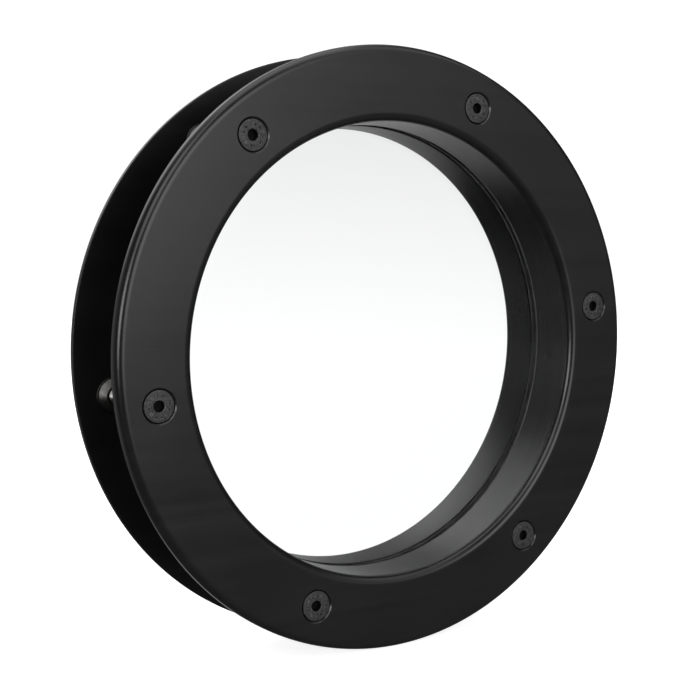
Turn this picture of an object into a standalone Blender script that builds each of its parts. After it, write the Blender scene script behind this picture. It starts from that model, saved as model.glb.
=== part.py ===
"""Round glazed porthole for a door leaf: two flanged collars that six countersunk screws draw together.

Units are metres and +Z is up. The origin is the middle of the unit, on its axis. The axis lies along Y, and
the front flange, which the screws enter, faces -Y. Run with: blender --background --python part.py
"""
import math

import bmesh
import bpy

MM = 0.001

# Driving dimensions
FLANGE_DIA = 300 * MM
SIGHT_DIA = 226 * MM
SCREW_PCD = 262 * MM
DEPTH = 58 * MM
FLANGE_THICK = 6 * MM
EDGE_RADIUS = 4 * MM
SCREW_COUNT = 6
FIRST_SCREW_DEG = 8.2
GLASS_THICK = 4 * MM
GLASS_FRONT = -0.3 * MM
GAP = 0.3 * MM

# Collars
COLLAR_WALL = 2.7 * MM
COLLAR_END = 1.5 * MM
COLLAR_LIP = 1.2 * MM
REAR_COLLAR_WALL = 6 * MM
REBATE_DEPTH = 12 * MM
GASKET_THICK = 1.0 * MM
GASKET_SETBACK = 0.8 * MM
DOOR_SEAL_WIDTH = 2.2 * MM
DOOR_SEAL_THICK = 1 * MM

# Countersunk screw, M8 x 55
SHANK_R = 4 * MM
SCREW_LENGTH = 55 * MM
HEAD_R = 7.5 * MM
HEAD_RIM = 0.4 * MM
HEAD_SUNK = 0.3 * MM
TIP_CHAMFER = 0.8 * MM
SOCKET_FLATS = 5 * MM
SOCKET_DEPTH = 3 * MM
CLEARANCE_R = 4.5 * MM
SINK_R = HEAD_R + GAP
SINK_RIM = HEAD_SUNK + HEAD_RIM + 0.1 * MM

# Low conical boss, tapped through, on the rear flange, which is tapped part of the way behind it
BOSS_MOUTH_R = 5.0 * MM
BOSS_LENGTH = 3.6 * MM
BOSS_CONE_R = 8.4 * MM
BOSS_FOOT_R = 9.0 * MM
BOSS_FOOT_HEIGHT = 0.5 * MM
BOSS_BORE_R = 4.25 * MM
BLIND_HOLE_DEPTH = 4 * MM

RING_STEPS = 72
SMALL_STEPS = 24
ARC_STEPS = 4

# Worked out from the driving dimensions
FLANGE_R = FLANGE_DIA / 2
SIGHT_R = SIGHT_DIA / 2
HALF = DEPTH / 2
CLAMP_FACE = HALF - FLANGE_THICK
COLLAR_R = SIGHT_R + COLLAR_WALL
REAR_COLLAR_R = SIGHT_R + REAR_COLLAR_WALL
REBATE_R = COLLAR_R + GAP
GLASS_BACK = GLASS_FRONT - GLASS_THICK
SEAT = GLASS_BACK - GASKET_THICK - 2 * GAP
OVERCUT = 2 * MM


def clear_scene():
    for obj in list(bpy.data.objects):
        bpy.data.objects.remove(obj, do_unlink=True)


def make_collection(name):
    collection = bpy.data.collections.new(name)
    bpy.context.scene.collection.children.link(collection)
    return collection


def make_material(name, color, roughness, metallic, transmission=0.0):
    material = bpy.data.materials.new(name)
    material.use_nodes = True
    shader = material.node_tree.nodes["Principled BSDF"]
    shader.inputs["Base Color"].default_value = (*color, 1.0)
    shader.inputs["Roughness"].default_value = roughness
    shader.inputs["Metallic"].default_value = metallic
    shader.inputs["Transmission Weight"].default_value = transmission
    return material


def arc(centre_r, centre_h, radius, start_deg, end_deg):
    """Points of a round stretch of a profile, as (radius, height)."""
    points = []
    for i in range(ARC_STEPS + 1):
        angle = math.radians(start_deg + (end_deg - start_deg) * i / ARC_STEPS)
        points.append((centre_r + radius * math.cos(angle), centre_h + radius * math.sin(angle)))
    return points


def turned(name, profile, steps, closed=True):
    """A solid of revolution about its own Z. The profile runs down the outer side, then up the inner one."""
    mesh = bpy.data.meshes.new(name)
    bm = bmesh.new()
    verts = [bm.verts.new((r, 0.0, h)) for r, h in profile]
    for start, end in zip(verts, verts[1:]):
        bm.edges.new((start, end))
    if closed:
        bm.edges.new((verts[-1], verts[0]))
    bm.to_mesh(mesh)
    bm.free()
    obj = bpy.data.objects.new(name, mesh)
    screw = obj.modifiers.new("turn", "SCREW")
    screw.axis = "Z"
    screw.angle = math.tau
    screw.steps = steps
    screw.render_steps = steps
    screw.use_smooth_shade = True
    screw.use_merge_vertices = True
    screw.merge_threshold = 0.00001
    return obj


def place(obj, collection, axis_empty, material, location=(0.0, 0.0, 0.0)):
    """Put a part in its collection, on the unit's axis, with its material."""
    collection.objects.link(obj)
    obj.parent = axis_empty
    obj.location = location
    obj.data.materials.append(material)
    return obj


def cut(obj, cutter, name):
    boolean = obj.modifiers.new(name, "BOOLEAN")
    boolean.operation = "DIFFERENCE"
    boolean.solver = "EXACT"
    boolean.object = cutter


def screw_places():
    """Number and centre of each screw, counted anticlockwise as seen from the front."""
    for i in range(SCREW_COUNT):
        angle = math.radians(FIRST_SCREW_DEG + 360 * i / SCREW_COUNT)
        yield i + 1, (SCREW_PCD / 2 * math.cos(angle), SCREW_PCD / 2 * math.sin(angle))


def flange_profile(face):
    """Half section of a flange whose show face is at the height face, with both show edges rounded."""
    side = 1 if face > 0 else -1
    back = side * CLAMP_FACE
    outer = arc(FLANGE_R - EDGE_RADIUS, face - side * EDGE_RADIUS, EDGE_RADIUS, side * 90, 0)
    inner = arc(SIGHT_R + EDGE_RADIUS, face - side * EDGE_RADIUS, EDGE_RADIUS, 180, 180 - side * 90)
    profile = outer + [(FLANGE_R, back), (SIGHT_R, back)] + inner
    return profile if side > 0 else profile[::-1]


def build_flanges(parts, cutters, axis_empty, coat):
    front = place(turned("front_flange", flange_profile(HALF), RING_STEPS), parts, axis_empty, coat)
    rear = place(turned("rear_flange", flange_profile(-HALF), RING_STEPS), parts, axis_empty, coat)
    sink_profile = [
        (0.0, HALF + OVERCUT),
        (SINK_R, HALF + OVERCUT),
        (SINK_R, HALF - SINK_RIM),
        (CLEARANCE_R, HALF - SINK_RIM - (SINK_R - CLEARANCE_R)),
        (CLEARANCE_R, CLAMP_FACE - OVERCUT),
        (0.0, CLAMP_FACE - OVERCUT),
    ]
    for number, (x, y) in screw_places():
        cutter = turned(f"sink_cutter_{number}", sink_profile, SMALL_STEPS, closed=False)
        cutters.objects.link(cutter)
        cutter.parent = axis_empty
        cutter.location = (x, y, 0.0)
        cutter.hide_render = True
        cutter.display_type = "WIRE"
        cut(front, cutter, f"screw_hole_{number}")
    blind_profile = [
        (0.0, OVERCUT - CLAMP_FACE),
        (BOSS_BORE_R, OVERCUT - CLAMP_FACE),
        (BOSS_BORE_R, -CLAMP_FACE - BLIND_HOLE_DEPTH),
        (0.0, -CLAMP_FACE - BLIND_HOLE_DEPTH),
    ]
    for number, (x, y) in screw_places():
        cutter = turned(f"blind_cutter_{number}", blind_profile, SMALL_STEPS, closed=False)
        cutters.objects.link(cutter)
        cutter.parent = axis_empty
        cutter.location = (x, y, 0.0)
        cutter.hide_render = True
        cutter.display_type = "WIRE"
        cut(rear, cutter, f"blind_hole_{number}")


def build_collars(parts, axis_empty, coat):
    """The front collar enters the rear one's rebate and presses the glass on its seat."""
    top = CLAMP_FACE - GAP
    front_profile = [
        (COLLAR_R, top),
        (COLLAR_R, COLLAR_END),
        (SIGHT_R + COLLAR_LIP, COLLAR_END),
        (SIGHT_R, COLLAR_END + COLLAR_LIP),
        (SIGHT_R, top),
    ]
    place(turned("front_collar", front_profile, RING_STEPS), parts, axis_empty, coat)
    rear_profile = [
        (REAR_COLLAR_R, SEAT + REBATE_DEPTH),
        (REAR_COLLAR_R, -top),
        (SIGHT_R, -top),
        (SIGHT_R, SEAT),
        (REBATE_R, SEAT),
        (REBATE_R, SEAT + REBATE_DEPTH),
    ]
    place(turned("rear_collar", rear_profile, RING_STEPS), parts, axis_empty, coat)


def washer_profile(inner_r, outer_r, low, high):
    return [(outer_r, high), (outer_r, low), (inner_r, low), (inner_r, high)]


def build_glazing(parts, axis_empty, glass, rubber):
    rim = COLLAR_R
    pane_profile = [(0.0, GLASS_FRONT), (rim, GLASS_FRONT), (rim, GLASS_BACK), (0.0, GLASS_BACK)]
    place(turned("glass_pane", pane_profile, RING_STEPS, closed=False), parts, axis_empty, glass)
    bore = SIGHT_R + GASKET_SETBACK
    front_low = GLASS_FRONT + GAP
    front_high = COLLAR_END - GAP
    rear_high = GLASS_BACK - GAP
    rear_low = rear_high - GASKET_THICK
    front = washer_profile(bore, rim, front_low, front_high)
    rear = washer_profile(bore, rim, rear_low, rear_high)
    place(turned("front_glass_gasket", front, RING_STEPS), parts, axis_empty, rubber)
    place(turned("rear_glass_gasket", rear, RING_STEPS), parts, axis_empty, rubber)


def build_door_seals(parts, axis_empty, rubber):
    """Flat seals at the root of each flange, which meet the two faces of the door leaf."""
    inner = REAR_COLLAR_R + GAP
    outer = inner + DOOR_SEAL_WIDTH
    high = CLAMP_FACE - GAP
    low = high - DOOR_SEAL_THICK
    front = washer_profile(inner, outer, low, high)
    rear = washer_profile(inner, outer, -high, -low)
    place(turned("front_door_seal", front, RING_STEPS), parts, axis_empty, rubber)
    place(turned("rear_door_seal", rear, RING_STEPS), parts, axis_empty, rubber)


def build_screws(parts, cutters, axis_empty, coat):
    top = HALF - HEAD_SUNK
    cone_end = top - HEAD_RIM - (HEAD_R - SHANK_R)
    tip = HALF - SCREW_LENGTH
    profile = [
        (0.0, top),
        (HEAD_R, top),
        (HEAD_R, top - HEAD_RIM),
        (SHANK_R, cone_end),
        (SHANK_R, tip + TIP_CHAMFER),
        (SHANK_R - TIP_CHAMFER, tip),
        (0.0, tip),
    ]
    for number, (x, y) in screw_places():
        place_xy = (x, y, 0.0)
        screw = turned(f"screw_{number}", profile, SMALL_STEPS, closed=False)
        place(screw, parts, axis_empty, coat, place_xy)
        cutter_mesh = bpy.data.meshes.new(f"socket_cutter_{number}")
        bm = bmesh.new()
        bmesh.ops.create_cone(
            bm,
            cap_ends=True,
            segments=6,
            radius1=SOCKET_FLATS / math.sqrt(3),
            radius2=SOCKET_FLATS / math.sqrt(3),
            depth=2 * SOCKET_DEPTH,
        )
        bm.to_mesh(cutter_mesh)
        bm.free()
        cutter = bpy.data.objects.new(f"socket_cutter_{number}", cutter_mesh)
        cutters.objects.link(cutter)
        cutter.parent = axis_empty
        cutter.location = (x, y, top)
        cutter.hide_render = True
        cutter.display_type = "WIRE"
        cut(screw, cutter, "hex_socket")


def build_bosses(parts, axis_empty, steel):
    """Tapped conical bosses that stand on the rear flange's inner face, each on a thin foot."""
    foot = -CLAMP_FACE + GAP
    mouth = foot + BOSS_LENGTH
    profile = [
        (BOSS_MOUTH_R, mouth),
        (BOSS_CONE_R, foot + BOSS_FOOT_HEIGHT + 0.3 * MM),
        (BOSS_FOOT_R, foot + BOSS_FOOT_HEIGHT),
        (BOSS_FOOT_R, foot),
        (BOSS_BORE_R, foot),
        (BOSS_BORE_R, mouth),
    ]
    for number, (x, y) in screw_places():
        place(turned(f"boss_{number}", profile, SMALL_STEPS), parts, axis_empty, steel, (x, y, 0.0))


def main():
    clear_scene()
    parts = make_collection("porthole")
    cutters = make_collection("cutters")
    axis_empty = bpy.data.objects.new("porthole_axis", None)
    parts.objects.link(axis_empty)
    axis_empty.rotation_euler = (math.radians(90), 0.0, 0.0)

    flange_coat = make_material("satin_black_flange", (0.022, 0.022, 0.023), 0.38, 0.6)
    collar_coat = make_material("satin_black_collar", (0.020, 0.020, 0.021), 0.34, 0.6)
    screw_coat = make_material("black_oxide_screw", (0.045, 0.045, 0.047), 0.45, 0.8)
    boss_steel = make_material("bright_steel_boss", (0.55, 0.54, 0.52), 0.3, 1.0)
    clear_glass = make_material("clear_glass", (0.95, 0.98, 0.97), 0.02, 0.0, 1.0)
    rubber = make_material("black_rubber", (0.02, 0.02, 0.02), 0.75, 0.0)

    build_flanges(parts, cutters, axis_empty, flange_coat)
    build_collars(parts, axis_empty, collar_coat)
    build_glazing(parts, axis_empty, clear_glass, rubber)
    build_door_seals(parts, axis_empty, rubber)
    build_screws(parts, cutters, axis_empty, screw_coat)
    build_bosses(parts, axis_empty, boss_steel)


main()
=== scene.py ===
"""Looks of a round porthole window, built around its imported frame.

Lengths are in metres. The porthole's axis lies along Y and its screwed front flange faces -Y.
"""

import math

import bmesh
import bpy
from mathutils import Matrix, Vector


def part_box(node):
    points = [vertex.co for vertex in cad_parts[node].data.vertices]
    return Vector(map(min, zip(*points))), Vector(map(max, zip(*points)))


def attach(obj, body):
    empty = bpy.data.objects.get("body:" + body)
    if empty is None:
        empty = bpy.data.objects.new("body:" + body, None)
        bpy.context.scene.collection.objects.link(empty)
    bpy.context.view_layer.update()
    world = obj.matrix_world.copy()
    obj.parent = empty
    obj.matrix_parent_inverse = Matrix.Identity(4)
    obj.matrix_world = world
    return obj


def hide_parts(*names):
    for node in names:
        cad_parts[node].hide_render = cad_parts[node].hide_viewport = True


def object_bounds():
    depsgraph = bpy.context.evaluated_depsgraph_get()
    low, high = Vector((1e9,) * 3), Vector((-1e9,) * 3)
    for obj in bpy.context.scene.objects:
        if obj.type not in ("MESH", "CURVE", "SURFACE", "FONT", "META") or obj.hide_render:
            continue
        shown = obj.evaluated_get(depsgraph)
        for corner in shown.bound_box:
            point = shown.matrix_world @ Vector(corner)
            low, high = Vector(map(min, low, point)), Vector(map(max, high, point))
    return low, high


MM = 0.001
TURN = 2 * math.pi

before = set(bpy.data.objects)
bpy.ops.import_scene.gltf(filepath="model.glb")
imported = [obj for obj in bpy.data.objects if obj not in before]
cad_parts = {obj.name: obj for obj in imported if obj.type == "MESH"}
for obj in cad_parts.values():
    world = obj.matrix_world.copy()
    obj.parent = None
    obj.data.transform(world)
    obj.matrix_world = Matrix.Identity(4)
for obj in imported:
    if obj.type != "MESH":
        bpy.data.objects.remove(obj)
cad_low, cad_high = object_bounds()


# ---------------------------------------------------------------- sizes read from the frame
def radius_of(node):
    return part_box(node)[1].x


FLANGE_R = radius_of("front_flange")
FRONT_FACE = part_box("front_flange")[0].y
FRONT_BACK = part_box("front_flange")[1].y
REAR_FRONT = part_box("rear_flange")[0].y
REAR_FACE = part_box("rear_flange")[1].y
FRONT_COLLAR_R = radius_of("front_collar")
FRONT_COLLAR_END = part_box("front_collar")[1].y
REAR_COLLAR_R = radius_of("rear_collar")
REAR_COLLAR_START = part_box("rear_collar")[0].y
PANE_R = radius_of("glass_pane")
PANE_FRONT, PANE_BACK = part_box("glass_pane")[0].y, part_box("glass_pane")[1].y
HEAD_TOP, SCREW_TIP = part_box("screw_1")[0].y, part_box("screw_1")[1].y
BOSS_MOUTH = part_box("boss_1")[0].y

# ---------------------------------------------------------------- sizes given here
SIGHT_R = 113 * MM
EDGE_ROUND = 4 * MM
EDGE_LAP = 0.35 * MM
BACK_BREAK = 0.25 * MM
BACK_LAND = 1.0 * MM
WELD = 1.4 * MM
COLLAR_LIP = 0.7 * MM
REBATE_R = 116 * MM
REBATE_BACK = 5.9 * MM
DOOR_SEAL_WIDTH = 2.2 * MM
GASKET_WIDTH = 1.9 * MM
TOUCH = 0.05 * MM
PANE_BREAK = 0.5 * MM

SCREWS = range(1, 7)
SCREW_TURNS = (0.30, 1.15, 0.75, 1.90, 0.05, 0.55)
HEAD_R = 7.5 * MM
HEAD_EASE = 0.1 * MM
HEAD_RIM = 0.4 * MM
SHANK_R = 4 * MM
CONE_END = HEAD_TOP + HEAD_RIM + HEAD_R - SHANK_R
NECK_END = CONE_END + 1.6 * MM
THREAD_PITCH = 1.25 * MM
THREAD_DEPTH = 0.62 * MM
THREAD_START = NECK_END - 1.2 * MM
THREAD_STEPS = 28
SOCKET_FLATS = 5 * MM
SOCKET_R = SOCKET_FLATS / math.sqrt(3)
SOCKET_DEPTH = 3 * MM
SOCKET_POINT = 0.9 * MM
MOUTH_DEPTH = 0.3 * MM
PAD_COUNT = 12
PAD_SIZE = (1.2 * MM, 0.6 * MM, 1.1 * MM)
PAD_SUNK = 0.08 * MM
PAD_CIRCLE_R = 5.0 * MM
PAD_BREAK = 0.12 * MM
# the screw's four materials: plain head, thread, socket and pad tops; the socket and pad tops carry painted
# shade
PLAIN, THREAD, SOCKET, SHADED_PAD = range(4)

OVERCUT = 1.2 * MM
HOLE_R = 4.5 * MM
SINK_R = 7.95 * MM
SINK_RIM = 0.8 * MM
SINK_BREAK = 0.5 * MM
BOSS_MOUTH_R = 5.0 * MM
BOSS_CONE_R = 8.4 * MM
BOSS_FOOT_R = 9.0 * MM
BOSS_FOOT = 0.5 * MM
BOSS_BORE = 4.25 * MM
BOSS_LAND = 0.3 * MM
BLIND_HOLE = 4 * MM
DRILL_POINT = 0.6

RING_STEPS = 256
SMALL_STEPS = 64
BIG_ROUNDING = 1.5 * MM
BIG_ROUNDING_STEPS = 10
SMALL_ROUNDING_STEPS = 4
SAME_POINT = 1e-6
ON_AXIS = 1e-9


# ---------------------------------------------------------------- modelling by hand
def nothing_selected():
    if bpy.context.object and bpy.context.object.mode != "OBJECT":
        bpy.ops.object.mode_set(mode="OBJECT")
    bpy.ops.object.select_all(action="DESELECT")


def only(*objects):
    nothing_selected()
    for one in objects:
        one.select_set(True)
    bpy.context.view_layer.objects.active = objects[0]


def edit(piece):
    only(piece)
    bpy.ops.object.mode_set(mode="EDIT")


def done():
    bpy.ops.object.mode_set(mode="OBJECT")


def pick(kind, test):
    """Selects the vertices, edges or faces of the mesh in hand that pass the test."""
    mesh = bmesh.from_edit_mesh(bpy.context.object.data)
    for item in list(mesh.verts) + list(mesh.edges) + list(mesh.faces):
        item.select_set(False)
    for item in getattr(mesh, kind):
        if test(item):
            item.select_set(True)
    mesh.select_flush(True)
    bmesh.update_edit_mesh(bpy.context.object.data)


def near(vertex, radius, along):
    return abs(vertex.co.x - radius) < SAME_POINT and abs(vertex.co.y - along) < SAME_POINT


def one_point(name, radius, along):
    """A new piece of one vertex, left in edit mode with that vertex selected."""
    nothing_selected()
    bpy.ops.mesh.primitive_plane_add(size=MM, location=(0, 0, 0))
    piece = bpy.context.object
    piece.name = name
    bpy.ops.object.mode_set(mode="EDIT")
    bpy.ops.mesh.select_mode(type="VERT")
    bpy.ops.mesh.select_all(action="SELECT")
    bpy.ops.mesh.merge(type="CENTER")
    bpy.ops.transform.translate(value=(radius, along, 0))
    return piece


def turned(name, corners, steps=RING_STEPS):
    """A piece turned round the Y axis from the outline of its section.

    Each corner is (radius, place along the axis, rounding). The outline is drawn out of one vertex, its
    corners are rounded, and it is spun through a full turn.
    """
    piece = one_point(name, corners[0][0], corners[0][1])
    for last, this in zip(corners, corners[1:]):
        step = (this[0] - last[0], this[1] - last[1], 0)
        bpy.ops.mesh.extrude_region_move(TRANSFORM_OT_translate={"value": step})
    bpy.ops.mesh.select_all(action="SELECT")
    bpy.ops.mesh.edge_face_add()
    for radius, along, rounding in corners:
        if rounding:
            pick("verts", lambda v: near(v, radius, along))
            segments = BIG_ROUNDING_STEPS if rounding > BIG_ROUNDING else SMALL_ROUNDING_STEPS
            bpy.ops.mesh.bevel(offset=rounding, offset_type="OFFSET", segments=segments, affect="VERTICES")
    bpy.ops.mesh.select_all(action="SELECT")
    bpy.ops.mesh.delete(type="ONLY_FACE")
    if min(radius for radius, _, _ in corners) < ON_AXIS:
        pick("edges", lambda e: all(v.co.x < ON_AXIS for v in e.verts))
        bpy.ops.mesh.delete(type="EDGE")
    bpy.ops.mesh.select_all(action="SELECT")
    bpy.ops.mesh.spin(steps=steps, angle=TURN, center=(0, 0, 0), axis=(0, 1, 0))
    bpy.ops.mesh.select_all(action="SELECT")
    bpy.ops.mesh.remove_doubles(threshold=SAME_POINT)
    bpy.ops.mesh.normals_make_consistent(inside=False)
    done()
    return piece


def copy_of(piece, name):
    only(piece)
    bpy.ops.object.duplicate()
    twin = bpy.context.object
    twin.name = name
    return twin


def settle(piece):
    """Puts a moved or turned piece's place into its mesh."""
    only(piece)
    bpy.ops.object.transform_apply(location=True, rotation=True, scale=True)


def screw_place(number):
    low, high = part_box(f"screw_{number}")
    return (low.x + high.x) / 2, (low.z + high.z) / 2


def at_screw(piece, number, turn=0.0):
    """Moves a piece made on the porthole's axis to a screw's place, and gives that place."""
    x, z = screw_place(number)
    piece.rotation_euler = (0, turn, 0)
    piece.location = (x, 0, z)
    settle(piece)
    return x, z


def joined(name, parts):
    only(*parts)
    bpy.ops.object.join()
    bpy.context.object.name = name
    return bpy.context.object


def cut(piece, tool, operation="DIFFERENCE"):
    """Cuts the tool out of the piece, welds it on or keeps what they share, and throws the tool away."""
    only(piece)
    change = piece.modifiers.new("cut", "BOOLEAN")
    change.operation = operation
    change.solver = "EXACT"
    change.object = tool
    bpy.ops.object.modifier_apply(modifier=change.name)
    bpy.data.objects.remove(tool)


def cut_at_screws(piece, tool):
    """Cuts the tool out of the piece at all six screws, and throws the tool away."""
    tools = [copy_of(tool, f"{tool.name}_{number}") for number in SCREWS]
    for number, one in zip(SCREWS, tools):
        at_screw(one, number)
    bpy.data.objects.remove(tool)
    cut(piece, joined("screw_tools", tools))


def smooth(piece, degrees=32):
    only(piece)
    bpy.ops.object.shade_smooth_by_angle(angle=math.radians(degrees))


def dress(piece, body, materials, nodes):
    """Gives a finished piece its materials, its body and the CAD nodes that it stands for."""
    piece.data.materials.clear()
    for material in materials:
        piece.data.materials.append(material)
    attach(piece, body)
    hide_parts(*nodes)


# ---------------------------------------------------------------- materials
def add(tree, kind, inputs=None, **settings):
    item = tree.nodes.new("ShaderNode" + kind)
    for key, value in settings.items():
        setattr(item, key, value)
    for key, value in (inputs or {}).items():
        socket = item.inputs[key]
        if isinstance(value, bpy.types.NodeSocket):
            tree.links.new(value, socket)
        else:
            socket.default_value = value
    return item


def maths(tree, operation, first, second=0.0, clamp=False):
    return add(tree, "Math", {0: first, 1: second}, operation=operation, use_clamp=clamp).outputs[0]


def spread(tree, value, low, high, to_low=0.0, to_high=1.0):
    """Maps low..high onto to_low..to_high and holds it there."""
    return add(tree, "MapRange", {"Value": value, "From Min": low, "From Max": high, "To Min": to_low,
                                  "To Max": to_high}, clamp=True).outputs[0]


def blend(tree, factor, first, second):
    mix = add(tree, "Mix", data_type="RGBA")
    for socket, value in ((mix.inputs[0], factor), (mix.inputs[6], first), (mix.inputs[7], second)):
        if isinstance(value, bpy.types.NodeSocket):
            tree.links.new(value, socket)
        else:
            socket.default_value = value
    return mix.outputs[2]


def new_group(name, inputs, outputs):
    tree = bpy.data.node_groups.new(name, "ShaderNodeTree")
    for label, kind, value in inputs:
        socket = tree.interface.new_socket(name=label, in_out="INPUT",
                                           socket_type="NodeSocket" + kind)
        socket.default_value = value
    for label, kind in outputs:
        tree.interface.new_socket(name=label, in_out="OUTPUT", socket_type="NodeSocket" + kind)
    return tree, tree.nodes.new("NodeGroupInput").outputs, tree.nodes.new("NodeGroupOutput")


def put(tree, out, values):
    for label, value in values.items():
        tree.links.new(value, out.inputs[label])


def brushed_group():
    """Fine straight brush lines, drawn out along X."""
    tree, given, out = new_group(
        "brush_lines", [("Length", "Float", 30.0), ("Fineness", "Float", 1500.0)],
        [("Height", "Float"), ("Sheen", "Float")])
    place = add(tree, "TexCoord").outputs["Object"]
    stretch = add(tree, "CombineXYZ", {"X": given["Length"], "Y": given["Fineness"],
                                       "Z": given["Fineness"]})
    scaled = add(tree, "VectorMath", {0: place, 1: stretch.outputs[0]}, operation="MULTIPLY").outputs[0]
    lines = add(tree, "TexNoise", {"Vector": scaled, "Scale": 1.0, "Detail": 3.0, "Roughness": 0.6})
    slow = add(tree, "VectorMath", {0: scaled, "Scale": 0.12}, operation="SCALE").outputs[0]
    bands = add(tree, "TexNoise", {"Vector": slow, "Scale": 1.0, "Detail": 2.0, "Roughness": 0.5})
    put(tree, out, {"Height": lines.outputs[0], "Sheen": spread(tree, bands.outputs[0], 0.3, 0.7)})
    return tree


def turned_group():
    """Fine lathe lines round the Y axis through the piece's own centre."""
    tree, given, out = new_group(
        "lathe_lines", [("Centre", "Vector", (0.0, 0.0, 0.0)), ("Fineness", "Float", 1800.0)],
        [("Height", "Float"), ("Sheen", "Float")])
    place = add(tree, "TexCoord").outputs["Object"]
    own = add(tree, "VectorMath", {0: place, 1: given["Centre"]}, operation="SUBTRACT").outputs[0]
    flat = add(tree, "VectorMath", {0: own, 1: (1.0, 0.0, 1.0)}, operation="MULTIPLY").outputs[0]
    radius = add(tree, "VectorMath", {0: flat}, operation="LENGTH").outputs["Value"]
    along = add(tree, "SeparateXYZ", {0: own}).outputs["Y"]
    round_axis = add(tree, "VectorMath", {0: flat}, operation="NORMALIZE").outputs[0]
    way = add(tree, "SeparateXYZ", {0: round_axis})
    section = maths(tree, "MULTIPLY", maths(tree, "ADD", radius, along), given["Fineness"])
    point = add(tree, "CombineXYZ", {"X": section, "Y": maths(tree, "MULTIPLY", way.outputs["X"], 2.5),
                                     "Z": maths(tree, "MULTIPLY", way.outputs["Z"], 2.5)}).outputs[0]
    lines = add(tree, "TexNoise", {"Vector": point, "Scale": 1.0, "Detail": 3.0, "Roughness": 0.55})
    slow = add(tree, "VectorMath", {0: point, 1: (0.1, 1.0, 1.0)}, operation="MULTIPLY").outputs[0]
    bands = add(tree, "TexNoise", {"Vector": slow, "Scale": 1.0, "Detail": 2.0, "Roughness": 0.5})
    put(tree, out, {"Height": lines.outputs[0], "Sheen": spread(tree, bands.outputs[0], 0.3, 0.7)})
    return tree


def wear_and_highlight_group():
    """A mask of the piece's sharp edges, broken up as rubbed paint is; what it lays on is partly wear and
    partly a painted highlight.
    """
    tree, given, out = new_group(
        "edge_wear_and_highlight", [("Width", "Float", 0.0006), ("Amount", "Float", 0.5)], [("Mask", "Float")])
    soft = add(tree, "Bevel", {"Radius": given["Width"]}, samples=6).outputs[0]
    true = add(tree, "NewGeometry").outputs["Normal"]
    match = add(tree, "VectorMath", {0: soft, 1: true}, operation="DOT_PRODUCT").outputs["Value"]
    edge = spread(tree, match, 0.99, 0.80)
    place = add(tree, "TexCoord").outputs["Object"]
    patches = add(tree, "TexNoise", {"Vector": place, "Scale": 160.0, "Detail": 4.0, "Roughness": 0.65})
    broken = spread(tree, patches.outputs[0], 0.42, 0.62)
    mask = maths(tree, "MULTIPLY", maths(tree, "MULTIPLY", edge, broken), given["Amount"], clamp=True)
    put(tree, out, {"Mask": mask})
    return tree


def mottle_group():
    """Soft cloudy variation, handling smears and a fine grain."""
    tree, given, out = new_group(
        "mottle", [("Cloud Size", "Float", 14.0), ("Grain Size", "Float", 1400.0)],
        [("Cloud", "Float"), ("Smear", "Float"), ("Grain", "Float")])
    place = add(tree, "TexCoord").outputs["Object"]
    cloud = add(tree, "TexNoise", {"Vector": place, "Scale": given["Cloud Size"], "Detail": 4.0,
                                   "Roughness": 0.55})
    pull = add(tree, "VectorMath", {0: place, 1: (22.0, 30.0, 60.0)}, operation="MULTIPLY").outputs[0]
    smear = add(tree, "TexNoise", {"Vector": pull, "Scale": 1.0, "Detail": 5.0, "Roughness": 0.6,
                                   "Distortion": 0.8})
    grain = add(tree, "TexNoise", {"Vector": place, "Scale": given["Grain Size"], "Detail": 2.0,
                                   "Roughness": 0.5})
    put(tree, out, {"Cloud": spread(tree, cloud.outputs[0], 0.3, 0.7),
                    "Smear": spread(tree, smear.outputs[0], 0.5, 0.75), "Grain": grain.outputs[0]})
    return tree


GROUPS = {"brush": brushed_group(), "lathe": turned_group(), "wear_and_highlight": wear_and_highlight_group(),
          "mottle": mottle_group()}


def use(tree, group, inputs=None):
    item = tree.nodes.new("ShaderNodeGroup")
    item.node_tree = GROUPS[group]
    for key, value in (inputs or {}).items():
        item.inputs[key].default_value = value
    return item.outputs


def new_material(name, shader):
    material = bpy.data.materials.new(name)
    material.use_nodes = True
    tree = material.node_tree
    tree.nodes.clear()
    principled = add(tree, "BsdfPrincipled", shader)
    add(tree, "OutputMaterial", {"Surface": principled.outputs[0]})
    return material, tree, principled


def black_coat(name, paint, roughness, lines, line_depth, wear_and_highlight, specular=0.5):
    """Satin black over brushed or turned metal: its tone, gloss and surface all vary a little, and its
    lighter rubbed edges are partly wear and partly a painted highlight.
    """
    rough_spread, grain_depth = 0.05, 0.006 * MM
    material, tree, principled = new_material(name, {"IOR": 1.5, "Specular IOR Level": specular})
    marks = use(tree, lines)
    mottle = use(tree, "mottle")
    edge = use(tree, "wear_and_highlight", {"Width": 0.5 * MM, "Amount": wear_and_highlight})["Mask"]
    lighter = tuple(1.8 * c for c in paint[:3]) + (1.0,)
    streaky = maths(tree, "MULTIPLY", maths(tree, "ADD", mottle["Cloud"], marks["Sheen"]), 0.5)
    tone = blend(tree, streaky, paint, lighter)
    # the grey laid on the rubbed edges is partly worn paint and partly a painted highlight
    colour = blend(tree, edge, tone, WORN_AND_HIGHLIGHT)
    tree.links.new(colour, principled.inputs["Base Color"])
    gloss = maths(tree, "MULTIPLY", mottle["Cloud"], rough_spread)
    gloss = maths(tree, "ADD", gloss, maths(tree, "MULTIPLY", marks["Sheen"], rough_spread * 0.8))
    gloss = maths(tree, "SUBTRACT", gloss, maths(tree, "MULTIPLY", mottle["Smear"], rough_spread * 0.6))
    tree.links.new(maths(tree, "ADD", gloss, roughness), principled.inputs["Roughness"])
    tree.links.new(maths(tree, "MULTIPLY", edge, 0.6), principled.inputs["Metallic"])
    first = add(tree, "Bump", {"Strength": 1.0, "Distance": line_depth, "Height": marks["Height"]})
    second = add(tree, "Bump", {"Strength": 1.0, "Distance": grain_depth,
                                "Height": mottle["Grain"], "Normal": first.outputs[0]})
    tree.links.new(second.outputs[0], principled.inputs["Normal"])
    return material


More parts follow.
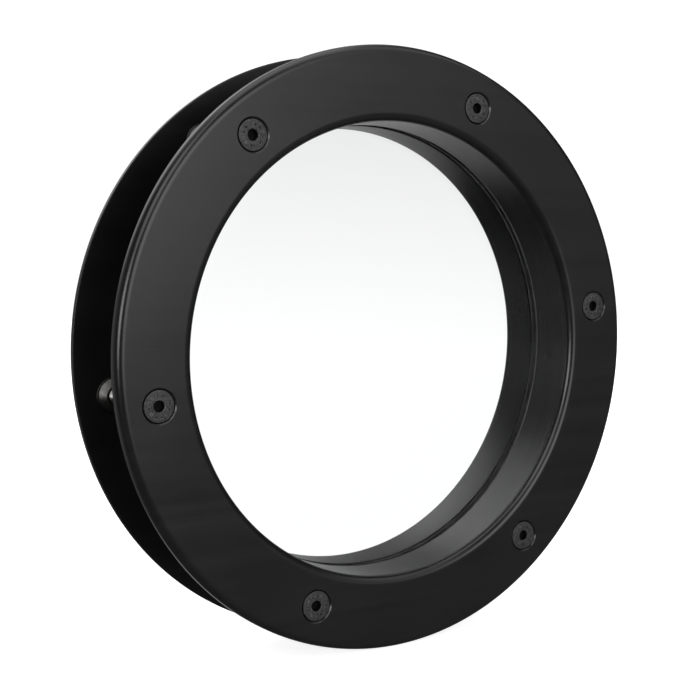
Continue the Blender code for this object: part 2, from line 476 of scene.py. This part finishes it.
def bright_steel(name, colour, stain, roughness, centre, line_depth):
    """Turned bare steel with lathe lines and a little oil stain in random smears."""
    material, tree, principled = new_material(name, {"Metallic": 1.0, "IOR": 2.5})
    marks = use(tree, "lathe", {"Centre": centre, "Fineness": 2600.0})
    mottle = use(tree, "mottle", {"Cloud Size": 90.0})
    edge = use(tree, "wear_and_highlight", {"Width": 0.3 * MM, "Amount": 0.8})["Mask"]
    dull = blend(tree, maths(tree, "MULTIPLY", mottle["Smear"], 0.5), colour, stain)
    bright = tuple(min(1.0, 1.2 * c) for c in colour[:3]) + (1.0,)
    tree.links.new(blend(tree, edge, dull, bright), principled.inputs["Base Color"])
    gloss = maths(tree, "MULTIPLY", marks["Sheen"], 0.10)
    gloss = maths(tree, "ADD", gloss, maths(tree, "MULTIPLY", mottle["Cloud"], 0.08))
    tree.links.new(maths(tree, "ADD", gloss, roughness), principled.inputs["Roughness"])
    bump = add(tree, "Bump", {"Strength": 1.0, "Distance": line_depth, "Height": marks["Height"]})
    tree.links.new(bump.outputs[0], principled.inputs["Normal"])
    return material


def black_oxide(name, paint, light, rubbed_and_highlight, roughness, metallic, specular, grit):
    """Blackened steel: a matt, gritty oxide skin, rubbed brighter on its raised marks and rim; the rubbed
    brightness is partly wear and partly a painted highlight.
    """
    material, tree, principled = new_material(
        name, {"IOR": 1.5, "Metallic": metallic, "Specular IOR Level": specular})
    mottle = use(tree, "mottle", {"Cloud Size": 800.0, "Grain Size": 3200.0})
    edge = use(tree, "wear_and_highlight", {"Width": 0.35 * MM, "Amount": 1.0})["Mask"]
    skin = blend(tree, mottle["Cloud"], paint, light)
    # the lighter rubbed edges are partly wear and partly a painted highlight
    tree.links.new(blend(tree, edge, skin, rubbed_and_highlight), principled.inputs["Base Color"])
    tree.links.new(spread(tree, mottle["Cloud"], 0.0, 1.0, roughness - 0.06, roughness + 0.08),
                   principled.inputs["Roughness"])
    height = maths(tree, "ADD", mottle["Grain"], mottle["Cloud"])
    bump = add(tree, "Bump", {"Strength": 0.8, "Distance": grit, "Height": height})
    tree.links.new(bump.outputs[0], principled.inputs["Normal"])
    return material


def rubber(name, dark, chalky):
    """Moulded black rubber with a chalky bloom."""
    material, tree, principled = new_material(name, {"IOR": 1.45, "Specular IOR Level": 0.35})
    mottle = use(tree, "mottle", {"Cloud Size": 60.0, "Grain Size": 2200.0})
    bloom = maths(tree, "MULTIPLY", mottle["Cloud"], 0.6)
    colour = blend(tree, bloom, dark, chalky)
    tree.links.new(colour, principled.inputs["Base Color"])
    tree.links.new(spread(tree, mottle["Grain"], 0.3, 0.7, 0.62, 0.8), principled.inputs["Roughness"])
    bump = add(tree, "Bump", {"Strength": 0.7, "Distance": 0.06 * MM, "Height": mottle["Grain"]})
    tree.links.new(bump.outputs[0], principled.inputs["Normal"])
    return material


def clear_glass(name):
    """Float glass whose faces carry the faintest waviness and a few wiped smears."""
    material, tree, principled = new_material(
        name, {"Base Color": (0.985, 0.995, 0.99, 1), "Metallic": 0.0, "IOR": 1.5,
               "Transmission Weight": 1.0})
    mottle = use(tree, "mottle", {"Cloud Size": 9.0})
    tree.links.new(spread(tree, mottle["Smear"], 0.0, 1.0, 0.0, 0.015), principled.inputs["Roughness"])
    bump = add(tree, "Bump", {"Strength": 0.2, "Distance": 0.02 * MM, "Height": mottle["Cloud"]})
    tree.links.new(bump.outputs[0], principled.inputs["Normal"])
    return material


BLACK = (0.0042, 0.0042, 0.0044, 1)
# darker, duller black for the rear flange's face towards the leaf: painted shade of the gap between the
# flanges
SHADE_BLACK = (0.0020, 0.0020, 0.0022, 1)
# grey of the rubbed edges: partly bare metal showing through worn paint, partly a painted highlight along
# the edges
WORN_AND_HIGHLIGHT = (0.12, 0.12, 0.122, 1)
front_black = black_coat("satin_black_front", BLACK, 0.19, "brush", 0.02 * MM, 0.35)
# both collars carry strong edge wear (0.9): partly real wear, partly a painted highlight along their lips
front_collar_black = black_coat("satin_black_front_collar", BLACK, 0.20, "lathe", 0.010 * MM, 0.9)
rear_black = black_coat("satin_black_rear", BLACK, 0.20, "brush", 0.02 * MM, 0.35)
# painted shade: the rear flange's face towards the leaf, in the gap behind the front flange
inner_shade_black = black_coat("painted_shade_black_inside", SHADE_BLACK, 0.30, "brush", 0.012 * MM, 0.2, specular=0.35)
rear_collar_black = black_coat("satin_black_rear_collar", BLACK, 0.20, "lathe", 0.010 * MM, 0.9)
# the head's rubbed rim and pad edges: partly wear, partly a painted highlight
head_black = black_oxide("black_oxide_head", (0.006, 0.006, 0.006, 1), (0.055, 0.055, 0.056, 1),
                         (0.26, 0.26, 0.26, 1), 0.36, 0.3, 0.5, 0.09 * MM)
# the hex socket's near-black, dull copy of the oxide is painted shade in the recess
socket_shade_black = black_oxide("painted_shade_socket", (0.001, 0.001, 0.001, 1), (0.004, 0.004, 0.004, 1),
                           (0.01, 0.01, 0.01, 1), 0.6, 0.0, 0.12, 0.05 * MM)
# the darker pad tops are painted shade, their lighter rubbed bevels a painted highlight
mark_shade_black = black_oxide("painted_shade_mark", (0.002, 0.002, 0.002, 1), (0.012, 0.012, 0.012, 1),
                         (0.16, 0.16, 0.16, 1), 0.45, 0.1, 0.25, 0.07 * MM)
thread_steel = bright_steel("bright_screw_thread", (0.24, 0.235, 0.23, 1), (0.06, 0.055, 0.05, 1),
                            0.18, (0.0, 0.0, 0.0), 0.01 * MM)
seal_rubber = rubber("matt_black_rubber", (0.008, 0.008, 0.008, 1), (0.021, 0.021, 0.022, 1))
gasket_rubber = rubber("chalky_black_rubber", (0.05, 0.05, 0.05, 1), (0.12, 0.12, 0.12, 1))
glass = clear_glass("clear_float_glass")


# ---------------------------------------------------------------- flanges
def flange(name, show, back):
    """A flat ring whose show face is rounded over into its rim and into the sight opening."""
    inward = 1 if back > show else -1
    return turned(name, [
        (FLANGE_R, back, BACK_BREAK),
        (FLANGE_R, show + inward * (EDGE_ROUND + EDGE_LAP), 0),
        (FLANGE_R, show, EDGE_ROUND),
        (FLANGE_R - EDGE_ROUND - EDGE_LAP, show, 0),
        (SIGHT_R + EDGE_ROUND + EDGE_LAP, show, 0),
        (SIGHT_R, show, EDGE_ROUND),
        (SIGHT_R, show + inward * (EDGE_ROUND + EDGE_LAP), 0),
        (SIGHT_R, back, 0),
        (SIGHT_R + BACK_LAND, back, 0),
        (FLANGE_R - BACK_LAND, back, 0),
    ])


front_flange = flange("front_flange_ring", FRONT_FACE, FRONT_BACK)
rear_flange = flange("rear_flange_ring", REAR_FACE, REAR_FRONT)

# the countersunk screw holes
cut_at_screws(front_flange, turned("sink_tool", [
    (0, FRONT_FACE - OVERCUT, 0),
    (SINK_R + SINK_BREAK + OVERCUT, FRONT_FACE - OVERCUT, 0),
    (SINK_R, FRONT_FACE + SINK_BREAK, 0),
    (SINK_R, FRONT_FACE + SINK_RIM, 0),
    (HOLE_R, FRONT_FACE + SINK_RIM + SINK_R - HOLE_R, 0),
    (HOLE_R, FRONT_BACK + OVERCUT, 0),
    (0, FRONT_BACK + OVERCUT, 0),
], SMALL_STEPS))
# The holes behind the bosses, each with a drill point. They are meant to be blind, but the points are about
# 0.55 mm too long for the flange and come out at its back. A DRILL_POINT of 0.3 would keep them inside.
cut_at_screws(rear_flange, turned("blind_tool", [
    (0, REAR_FRONT - OVERCUT, 0),
    (BOSS_BORE, REAR_FRONT - OVERCUT, 0),
    (BOSS_BORE, REAR_FRONT + BLIND_HOLE, 0),
    (0, REAR_FRONT + BLIND_HOLE + DRILL_POINT * BOSS_BORE, 0),
], SMALL_STEPS // 2))
smooth(front_flange)
smooth(rear_flange)
dress(front_flange, "front_half", [front_black], ["front_flange"])
dress(rear_flange, "rear_half", [rear_black, inner_shade_black], ["rear_flange"])
# the face towards the leaf takes the darker black, which is painted shade
for face in rear_flange.data.polygons:
    faces_the_leaf = face.normal.y < -0.9
    face.material_index = 1 if faces_the_leaf else 0

# ---------------------------------------------------------------- collars
front_collar = turned("front_collar_sleeve", [
    (SIGHT_R, FRONT_BACK, 0),
    (FRONT_COLLAR_R + WELD, FRONT_BACK, 0),
    (FRONT_COLLAR_R + 0.45 * WELD, FRONT_BACK + 0.55 * WELD, 0.5 * MM),
    (FRONT_COLLAR_R, FRONT_BACK + WELD, 0.3 * MM),
    (FRONT_COLLAR_R, FRONT_COLLAR_END, 0.3 * MM),
    (SIGHT_R, FRONT_COLLAR_END, COLLAR_LIP),
    (SIGHT_R, FRONT_COLLAR_END - 1.2 * COLLAR_LIP, 0),
])
smooth(front_collar, 40)
dress(front_collar, "front_half", [front_collar_black], ["front_collar"])

rear_collar = turned("rear_collar_sleeve", [
    (SIGHT_R, REAR_FRONT, 0),
    (REAR_COLLAR_R, REAR_FRONT, 0),
    (REAR_COLLAR_R, REAR_COLLAR_START, 0.6 * MM),
    (REBATE_R, REAR_COLLAR_START, 0.4 * MM),
    (REBATE_R, REBATE_BACK, 0),
    (SIGHT_R, REBATE_BACK, 0.3 * MM),
])
smooth(rear_collar, 40)
dress(rear_collar, "rear_half", [rear_collar_black], ["rear_collar"])


# ---------------------------------------------------------------- rubber
def rubber_ring(name, node, start, end, body, inner, outer, lip, material):
    """A flat rubber ring with a rounded lip, two ribs and a groove on the face that it seals with."""
    middle, groove = (inner + outer) / 2, 0.3 * (outer - inner)
    way = 1 if end > start else -1
    ring = turned(name, [
        (inner, start, 0),
        (outer, start, 0),
        (outer, end, lip),
        (middle + groove / 2, end, lip * 0.4),
        (middle, end - way * 0.35 * abs(end - start), lip * 0.4),
        (middle - groove / 2, end, lip * 0.4),
        (inner, end, lip),
    ])
    smooth(ring, 50)
    dress(ring, body, [material], [node])


gasket_in = radius_of("front_glass_gasket") - GASKET_WIDTH
rubber_ring("front_gasket_ring", "front_glass_gasket", FRONT_COLLAR_END, PANE_FRONT - TOUCH,
            "front_half", gasket_in, FRONT_COLLAR_R - TOUCH, 0.3 * MM, gasket_rubber)
rubber_ring("rear_gasket_ring", "rear_glass_gasket", REBATE_BACK, PANE_BACK + TOUCH,
            "rear_half", gasket_in, REBATE_R - TOUCH, 0.3 * MM, gasket_rubber)
for body, node, root, corner in (("front_half", "front_door_seal", FRONT_BACK, 1),
                                 ("rear_half", "rear_door_seal", REAR_FRONT, 0)):
    end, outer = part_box(node)[corner].y, radius_of(node)
    rubber_ring(node + "_ring", node, root, end, body, outer - DOOR_SEAL_WIDTH, outer, 0.4 * MM,
                seal_rubber)

# ---------------------------------------------------------------- pane
nothing_selected()
bpy.ops.mesh.primitive_cylinder_add(vertices=RING_STEPS, radius=PANE_R, depth=PANE_BACK - PANE_FRONT,
                                    location=(0, (PANE_FRONT + PANE_BACK) / 2, 0),
                                    rotation=(math.pi / 2, 0, 0))
pane = bpy.context.object
pane.name = "glass_pane_disc"
settle(pane)
edit(pane)
bpy.ops.mesh.select_mode(type="EDGE")
pick("edges", lambda e: len({round(v.co.y, 6) for v in e.verts}) == 1)
bpy.ops.mesh.bevel(offset=PANE_BREAK, offset_type="OFFSET", segments=1, affect="EDGES")
done()
smooth(pane, 20)
dress(pane, "rear_half", [glass], ["glass_pane"])

# ---------------------------------------------------------------- countersunk screw
screw = turned("screw_master", [
    (0, HEAD_TOP, 0),
    (HEAD_R - HEAD_EASE, HEAD_TOP, 0.3 * MM),
    (HEAD_R - HEAD_EASE, HEAD_TOP + HEAD_RIM, 0.05 * MM),
    (SHANK_R, CONE_END, 0.5 * MM),
    (SHANK_R, NECK_END - 0.4 * MM, 0),
    (SHANK_R - THREAD_DEPTH - 0.05 * MM, NECK_END, 0),
    (0, NECK_END, 0),
], SMALL_STEPS)

# the hexagon socket, with a drilled point and a dished mouth
nothing_selected()
bpy.ops.mesh.primitive_cylinder_add(vertices=6, radius=SOCKET_R, depth=SOCKET_DEPTH + MM,
                                    location=(0, HEAD_TOP + (SOCKET_DEPTH - MM) / 2, 0),
                                    rotation=(math.pi / 2, 0, 0))
key = bpy.context.object
settle(key)
edit(key)
bpy.ops.mesh.select_mode(type="FACE")
pick("faces", lambda f: f.normal.y > 0.9)
bpy.ops.mesh.inset(thickness=0.35 * MM)
bpy.ops.mesh.extrude_region_move(TRANSFORM_OT_translate={"value": (0, SOCKET_POINT, 0)})
bpy.ops.mesh.merge(type="CENTER")
done()
cut(screw, key)
cut(screw, turned("mouth_tool", [
    (0, HEAD_TOP - 0.5 * MM, 0),
    (SOCKET_R + 0.65 * MM, HEAD_TOP - 0.5 * MM, 0),
    (SOCKET_R - 0.15 * MM, HEAD_TOP + MOUTH_DEPTH, 0),
    (0, HEAD_TOP + MOUTH_DEPTH, 0),
], SMALL_STEPS))

# a ring of plain raised pads on the head
pads = []
for place in range(PAD_COUNT):
    nothing_selected()
    bpy.ops.mesh.primitive_cube_add(size=1.0, location=(0, 0, 0))
    pad = bpy.context.object
    pad.name = f"pad_{place}"
    bpy.ops.object.mode_set(mode="EDIT")
    bpy.ops.mesh.select_all(action="SELECT")
    bpy.ops.transform.resize(value=PAD_SIZE)
    bpy.ops.mesh.select_mode(type="EDGE")
    pick("edges", lambda e: all(v.co.y < 0 for v in e.verts))
    bpy.ops.mesh.bevel(offset=PAD_BREAK, offset_type="OFFSET", segments=1, affect="EDGES")
    done()
    pad.location = (0, HEAD_TOP + PAD_SUNK, PAD_CIRCLE_R)
    settle(pad)
    pad.rotation_euler = (0, place * TURN / PAD_COUNT, 0)
    settle(pad)
    pads.append(pad)
cut(screw, joined("pads", pads), "UNION")

# the thread, wound longer than it is needed and then trimmed to its length
start = THREAD_START - 2 * THREAD_PITCH
thread = one_point("thread", SHANK_R - THREAD_DEPTH, start)
for outward, onward in ((THREAD_DEPTH, 0.42), (0, 0.14), (-THREAD_DEPTH, 0.30), (0, 0.14)):
    step = (outward, onward * THREAD_PITCH, 0)
    bpy.ops.mesh.extrude_region_move(TRANSFORM_OT_translate={"value": step})
done()
wind = thread.modifiers.new("wind", "SCREW")
wind.axis = "Y"
wind.steps = wind.render_steps = THREAD_STEPS
wind.screw_offset = THREAD_PITCH
wind.iterations = int((SCREW_TIP - start) / THREAD_PITCH) + 3
wind.use_merge_vertices = True
wind.merge_threshold = SAME_POINT
only(thread)
bpy.ops.object.modifier_apply(modifier=wind.name)
edit(thread)
bpy.ops.mesh.select_all(action="SELECT")
bpy.ops.mesh.remove_doubles(threshold=SAME_POINT)
bpy.ops.mesh.fill_holes(sides=0)
bpy.ops.mesh.select_all(action="SELECT")
bpy.ops.mesh.normals_make_consistent(inside=False)
done()
cut(thread, turned("thread_envelope", [
    (0, THREAD_START, 0),
    (SHANK_R + 0.2 * MM, THREAD_START, 0),
    (SHANK_R + 0.2 * MM, SCREW_TIP - 1.1 * MM, 0),
    (SHANK_R - 0.9 * MM, SCREW_TIP, 0),
    (0, SCREW_TIP, 0),
], SMALL_STEPS), "INTERSECT")
cut(screw, thread, "UNION")
smooth(screw, 35)


def screw_finish(middle, x, z, turn):
    """Which of the screw's four materials a face takes, from the place of its middle; the socket's and the
    pad tops' materials are painted shade.
    """
    if middle.y > NECK_END - 0.5 * MM:
        return THREAD
    # the socket's faces take the near-black copy: painted shade in the recess
    within = HEAD_TOP + MOUTH_DEPTH < middle.y < HEAD_TOP + SOCKET_DEPTH + 1.2 * MM
    if within and math.hypot(middle.x - x, middle.z - z) < SOCKET_R:
        return SOCKET
    # part of the pad tops round the head take the darker copy: painted shade
    on_pad = middle.y < HEAD_TOP - 0.15 * MM
    around = math.atan2(middle.z - z, middle.x - x) + turn
    if on_pad and math.sin(4 * around) + 0.7 * math.sin(around) > -0.2:
        return SHADED_PAD
    return PLAIN


for number, turn in zip(SCREWS, SCREW_TURNS):
    one = copy_of(screw, f"countersunk_screw_{number}")
    x, z = at_screw(one, number, turn)
    dress(one, f"screw_body_{number}",
          [head_black, thread_steel, socket_shade_black, mark_shade_black], [f"screw_{number}"])
    for face in one.data.polygons:
        face.material_index = screw_finish(face.center, x, z, turn)
bpy.data.objects.remove(screw)

# ---------------------------------------------------------------- threaded bosses
boss = turned("boss_master", [
    (BOSS_BORE, BOSS_MOUTH, 0.08 * MM),
    (BOSS_MOUTH_R, BOSS_MOUTH, 0.5 * MM),
    (BOSS_CONE_R, REAR_FRONT - BOSS_FOOT - 0.6 * MM, 0.4 * MM),
    (BOSS_CONE_R, REAR_FRONT - BOSS_FOOT - BOSS_LAND, 0),
    (BOSS_FOOT_R, REAR_FRONT - BOSS_FOOT - BOSS_LAND, 0.25 * MM),
    (BOSS_FOOT_R, REAR_FRONT, 0),
    (BOSS_BORE, REAR_FRONT, 0),
], SMALL_STEPS)
smooth(boss, 40)
for number in SCREWS:
    one = copy_of(boss, f"threaded_boss_{number}")
    x, z = at_screw(one, number)
    # the bosses' dark colour is partly a duller steel and partly painted shade under the front flange
    steel = bright_steel(f"bright_boss_{number}", (0.085, 0.083, 0.080, 1), (0.030, 0.028, 0.026, 1),
                         0.27, (x, 0.0, z), 0.02 * MM)
    dress(one, "rear_half", [steel], [f"boss_{number}"])
bpy.data.objects.remove(boss)

# ---------------------------------------------------------------- floor, light and camera
WHITE = (1, 1, 1, 1)
BACKDROP = 1.1
THROUGH_GLASS_LOW, THROUGH_GLASS_HIGH = 1.09, 0.86
ROOM_GLOW = 0.03
FADE_FROM, FADE_TO = -0.08, 0.09
# Each soft light of the studio: its azimuth and elevation, the half widths of its even middle and of its
# faded edge, all in degrees, and its strength
SOFT_LIGHTS = (
    (20, 22, 8, 36, 0.5),
    (7, 11, 12, 24, 2.2),
    (30, -15, 20, 60, 0.12),
    (-57, 8, 7, 16, 6.0),
    (-50, 42, 8, 26, 2.4),
    (55, 48, 8, 26, 0.9),
    (150, -24, 10, 34, 0.48),
    (147, 14, 6, 24, 0.3),
    (-140, 0, 10, 45, 0.22),
    (180, 62, 15, 45, 0.8),
    (-175, 30, 8, 28, 0.9),
)

nothing_selected()
bpy.ops.mesh.primitive_circle_add(vertices=96, radius=3.0, fill_type="NGON",
                                  location=(0, 0, cad_low.z - 0.2 * MM))
floor = bpy.context.object
floor.name = "studio_floor"
floor.data.materials.append(new_material("pale_floor", {
    "Base Color": (0.86, 0.86, 0.86, 1), "Roughness": 0.7, "Specular IOR Level": 0.1,
    "Emission Color": WHITE, "Emission Strength": 0.85})[0])
floor.visible_glossy = False
floor.visible_transmission = False


def toward(azimuth, elevation):
    """The way from the porthole to a light. Azimuth 0 is in front, 90 to the right."""
    a, e = math.radians(azimuth), math.radians(elevation)
    return Vector((math.sin(a) * math.cos(e), -math.cos(a) * math.cos(e), math.sin(e)))


world = bpy.data.worlds.new("studio")
bpy.context.scene.world = world
world.use_nodes = True
sky = world.node_tree
sky.nodes.clear()
rays = add(sky, "LightPath").outputs
outward = add(sky, "TexCoord").outputs["Generated"]
way = add(sky, "VectorMath", {0: outward}, operation="NORMALIZE").outputs[0]
glow = ROOM_GLOW
for azimuth, elevation, even, faded, strength in SOFT_LIGHTS:
    facing = add(sky, "VectorMath", {0: way, 1: toward(azimuth, elevation)}, operation="DOT_PRODUCT")
    patch = add(sky, "MapRange", {"Value": facing.outputs["Value"],
                                  "From Min": math.cos(math.radians(faded)),
                                  "From Max": math.cos(math.radians(even)), "To Max": strength},
                interpolation_type="SMOOTHSTEP").outputs[0]
    glow = maths(sky, "ADD", patch, glow)
room = add(sky, "Background", {"Color": WHITE, "Strength": glow})
height = add(sky, "SeparateXYZ", {0: way}).outputs["Z"]
fade = spread(sky, height, FADE_FROM, FADE_TO, THROUGH_GLASS_LOW, THROUGH_GLASS_HIGH)
through_glass = add(sky, "Background", {"Color": WHITE, "Strength": fade})
backdrop = add(sky, "Background", {"Color": WHITE, "Strength": BACKDROP})
seen_straight = maths(sky, "LESS_THAN", maths(sky, "ADD", rays["Glossy Depth"], rays["Diffuse Depth"]), 0.5)
looking_through = maths(sky, "MULTIPLY", rays["Is Transmission Ray"], seen_straight)
inside = add(sky, "MixShader",
             {0: looking_through, 1: room.outputs[0], 2: through_glass.outputs[0]})
either = add(sky, "MixShader", {0: rays["Is Camera Ray"], 1: inside.outputs[0], 2: backdrop.outputs[0]})
add(sky, "OutputWorld", {"Surface": either.outputs[0]})


# one soft square lamp, nearly overhead, that gives the floor its shadow
LAMP_WAY = toward(0, 82)
LAMP_DISTANCE, LAMP_SIZE, LAMP_WATTS = 1.6, 1.2, 6
bulb = bpy.data.lights.new("overhead", "AREA")
bulb.shape = "SQUARE"
bulb.size = LAMP_SIZE
bulb.energy = LAMP_WATTS
lamp = bpy.data.objects.new("overhead", bulb)
bpy.context.scene.collection.objects.link(lamp)
lamp.location = LAMP_WAY * LAMP_DISTANCE
lamp.rotation_euler = LAMP_WAY.to_track_quat("Z", "Y").to_euler()
lamp.visible_camera = False

CAMERA_PLACE = (-0.3692, -0.5606, 0.0525)
CAMERA_DEGREES = (85.4124, 0.2167, -32.6261)
CAMERA_LENS, CAMERA_SENSOR = 67.2225, 36.0
nothing_selected()
lens = bpy.data.cameras.new("camera")
lens.lens = CAMERA_LENS
lens.sensor_width = CAMERA_SENSOR
lens.clip_start = 0.01
camera = bpy.data.objects.new("camera", lens)
bpy.context.scene.collection.objects.link(camera)
camera.location = CAMERA_PLACE
camera.rotation_euler = tuple(math.radians(a) for a in CAMERA_DEGREES)
bpy.context.scene.camera = camera
bpy.context.scene.view_settings.view_transform = "Standard"
